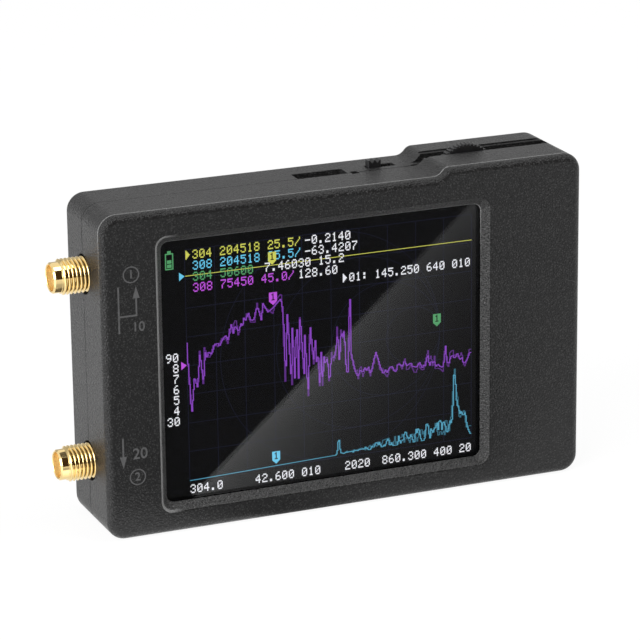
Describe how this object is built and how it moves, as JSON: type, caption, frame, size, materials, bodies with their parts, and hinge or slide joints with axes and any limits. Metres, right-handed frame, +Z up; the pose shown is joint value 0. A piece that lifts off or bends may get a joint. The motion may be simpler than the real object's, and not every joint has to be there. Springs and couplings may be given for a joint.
{
  "type": "antenna analyzer",
  "caption": "Pocket antenna analyzer with a touch display, threaded RF ports at its side and a USB slot, slide switch and jog wheel on top.",
  "frame": {"origin": "centre of the bottom face, the long edge it stands on", "axes": "+X from the port side to the jog side, +Y from the screen face to the back, +Z up"},
  "size_m": [0.0964, 0.019, 0.061],
  "materials": {
    "case_plastic": "charcoal moulded plastic, fine satin grain",
    "black_screw_steel": "blackened steel",
    "panel_glass": "clear glossy touch panel over a black display",
    "display_black": "black display cell",
    "tray_plastic": "white backlight tray",
    "black_foam": "black foam",
    "tail_film": "amber flexible circuit",
    "socket_plastic": "ivory moulded plastic",
    "board_laminate": "black solder mask on laminate",
    "plated_steel": "tin plated sheet",
    "spring_steel": "bright spring wire",
    "chip_plastic": "moulded chip resin",
    "control_plastic": "black moulded plastic",
    "pouch_foil": "laminated foil pouch",
    "red_sleeve": "red wire sleeve",
    "black_sleeve": "black wire sleeve",
    "ferrite": "dark ferrite",
    "light_body": "clear resin status light",
    "gold_plate": "polished gold plate on brass",
    "insulator_white": "white low-loss insulator"
  },
  "bodies": {
    "case": {"battery_cell": "pouch_foil", "battery_guard": "board_laminate", "battery_lead_black": "black_sleeve", "battery_lead_red": "red_sleeve", "battery_plug": "socket_plastic", "battery_socket": "socket_plastic", "battery_tape_high": "black_foam", "battery_tape_low": "black_foam", "case_screws": "black_screw_steel", "charger_chip": "chip_plastic", "clock_chip": "chip_plastic", "codec_chip": "chip_plastic", "crystal": "plated_steel", "display_frame": "tray_plastic", "display_gasket": "black_foam", "display_glass": "display_black", "display_pad_high": "black_foam", "display_pad_low": "black_foam", "display_tail": "tail_film", "front_shell": "case_plastic", "jog_base": "control_plastic", "jog_cover": "plated_steel", "jog_push_spring": "spring_steel", "main_board": "board_laminate", "mixer_chip_1": "chip_plastic", "mixer_chip_2": "chip_plastic", "port_1_body": "gold_plate", "port_1_contact": "gold_plate", "port_1_insulator": "insulator_white", "port_2_body": "gold_plate", "port_2_contact": "gold_plate", "port_2_insulator": "insulator_white", "power_inductor": "ferrite", "processor_chip": "chip_plastic", "rear_shell": "case_plastic", "shield_can_high": "plated_steel", "shield_can_low": "plated_steel", "status_light_1": "light_body", "status_light_2": "light_body", "switch_body": "plated_steel", "tail_connector": "socket_plastic", "touch_panel": "panel_glass", "usb_shell": "plated_steel", "usb_tongue": "chip_plastic"},
    "power_slider": {"switch_knob": "control_plastic"},
    "jog_carrier": {"jog_carriage": "control_plastic", "jog_centring_spring": "spring_steel"},
    "jog_rocker": {"jog_wheel": "control_plastic"}
  },
  "joints": [
    {"name": "power_slide", "type": "slide", "parent": "case", "child": "power_slider", "axis": [1, 0, 0], "range_m": [0, 0.0024]},
    {"name": "jog_push", "type": "slide", "parent": "case", "child": "jog_carrier", "axis": [0, 0, -1], "range_m": [0, 0.0005], "stiffness_N_per_m": 800, "springref_m": -0.0008, "deforming": ["jog_push_spring"]},
    {"name": "jog_rock", "type": "hinge", "parent": "jog_carrier", "child": "jog_rocker", "pos_m": [0.02715, 0.00115, 0.05498], "axis": [0, 1, 0], "range_deg": [-12, 12], "stiffness_Nm_per_rad": 0.02, "deforming": ["jog_centring_spring"]}
  ]
}
